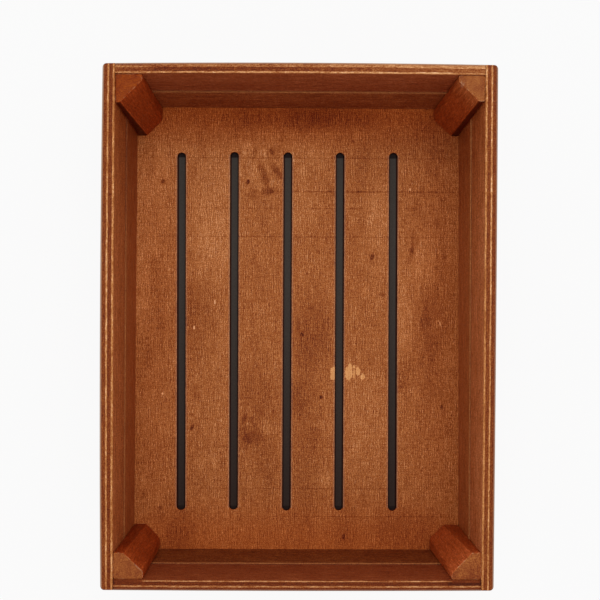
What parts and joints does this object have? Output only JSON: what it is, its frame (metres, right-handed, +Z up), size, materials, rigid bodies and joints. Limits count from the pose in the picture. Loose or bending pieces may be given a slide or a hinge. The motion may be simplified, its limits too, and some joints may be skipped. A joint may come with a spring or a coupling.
{
  "type": "serving crate",
  "caption": "Open rectangular serving crate of nailed plywood boards, with chamfered corner posts and a base with round-ended slots.",
  "frame": {"origin": "middle of the underside of the base panel", "axes": "+X across the crate to its right side, +Y along it to its back end, +Z up out of the open top"},
  "size_m": [0.3, 0.4, 0.15],
  "materials": {
    "board_plywood": "mahogany stain with a satin lacquer, pale plies showing on the edges",
    "base_plywood": "blotchy mahogany stain with a satin lacquer",
    "post_wood": "reddish mahogany stain with a satin lacquer, end grain paler",
    "brad_steel": "bright steel, dulled"
  },
  "bodies": {
    "root": {"base_panel": "base_plywood", "left_board_lower": "board_plywood", "left_board_upper": "board_plywood", "right_board_lower": "board_plywood", "right_board_upper": "board_plywood", "front_board_lower": "board_plywood", "front_board_upper": "board_plywood", "back_board_lower": "board_plywood", "back_board_upper": "board_plywood", "post_front_left": "post_wood", "post_front_right": "post_wood", "post_back_left": "post_wood", "post_back_right": "post_wood", "brad_left_lower_a1": "brad_steel", "brad_left_lower_a2": "brad_steel", "brad_left_lower_b1": "brad_steel", "brad_left_lower_b2": "brad_steel", "brad_left_upper_a1": "brad_steel", "brad_left_upper_a2": "brad_steel", "brad_left_upper_b1": "brad_steel", "brad_left_upper_b2": "brad_steel", "brad_right_lower_a1": "brad_steel", "brad_right_lower_a2": "brad_steel", "brad_right_lower_b1": "brad_steel", "brad_right_lower_b2": "brad_steel", "brad_right_upper_a1": "brad_steel", "brad_right_upper_a2": "brad_steel", "brad_right_upper_b1": "brad_steel", "brad_right_upper_b2": "brad_steel", "brad_front_lower_a1": "brad_steel", "brad_front_lower_a2": "brad_steel", "brad_front_lower_b1": "brad_steel", "brad_front_lower_b2": "brad_steel", "brad_front_upper_a1": "brad_steel", "brad_front_upper_a2": "brad_steel", "brad_front_upper_b1": "brad_steel", "brad_front_upper_b2": "brad_steel", "brad_back_lower_a1": "brad_steel", "brad_back_lower_a2": "brad_steel", "brad_back_lower_b1": "brad_steel", "brad_back_lower_b2": "brad_steel", "brad_back_upper_a1": "brad_steel", "brad_back_upper_a2": "brad_steel", "brad_back_upper_b1": "brad_steel", "brad_back_upper_b2": "brad_steel", "brad_base_left_1": "brad_steel", "brad_base_left_2": "brad_steel", "brad_base_left_3": "brad_steel", "brad_base_right_1": "brad_steel", "brad_base_right_2": "brad_steel", "brad_base_right_3": "brad_steel", "brad_base_front_1": "brad_steel", "brad_base_front_2": "brad_steel", "brad_base_back_1": "brad_steel", "brad_base_back_2": "brad_steel"}
  },
  "joints": []
}
